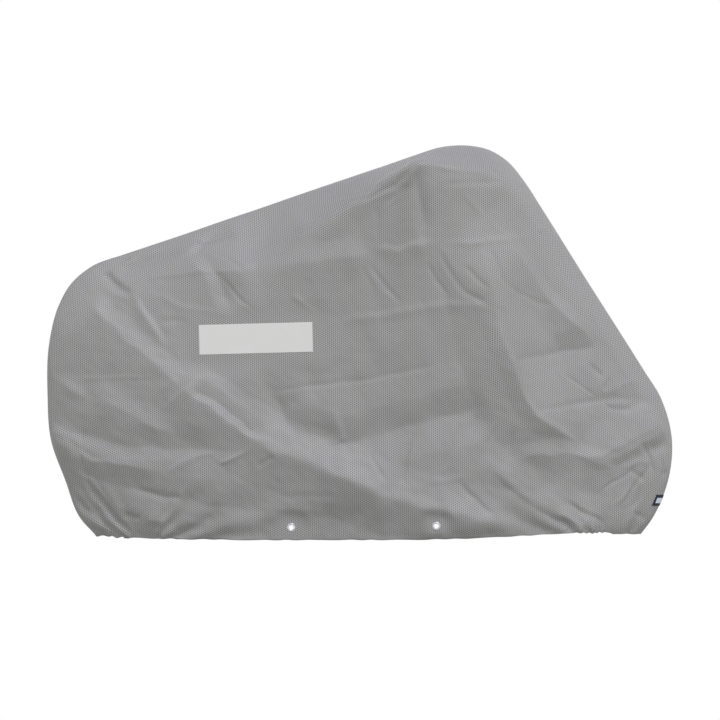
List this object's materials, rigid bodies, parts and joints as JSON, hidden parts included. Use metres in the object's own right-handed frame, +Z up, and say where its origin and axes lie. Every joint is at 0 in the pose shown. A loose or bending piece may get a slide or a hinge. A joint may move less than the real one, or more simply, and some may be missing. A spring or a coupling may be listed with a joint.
{
  "type": "bicycle_cover",
  "caption": "Fitted grey bicycle cover in draped dotted cloth, open below, with metal hem eyelets, a bare pale patch and a small front label",
  "frame": {"origin": "inside the top on the centre line, where the bicycle's handlebar carries the cover", "axes": "+X towards the bicycle's front, +Z up, so the side seen in the picture, with the bare patch, faces -Y"},
  "size_m": [1.8, 0.5599, 1.1366],
  "materials": {
    "cloth": "coated woven cloth, matte grey with a fine hexagonal net of dark dots",
    "eyelets": "bright nickel plated eyelets",
    "patch": "plain pale smooth patch",
    "label": "woven label with a dark edge and a pale bare middle"
  },
  "bodies": {
    "root": {"side_panel_right": "cloth", "side_panel_left": "cloth", "hem_strip_right_rear": "cloth", "hem_strip_right_front": "cloth", "hem_strip_left_rear": "cloth", "hem_strip_left_front": "cloth", "eyelet_right_rear": "eyelets", "eyelet_right_front": "eyelets", "eyelet_left_rear": "eyelets", "eyelet_left_front": "eyelets", "bare_patch": "patch", "front_label": "label"}
  },
  "joints": []
}
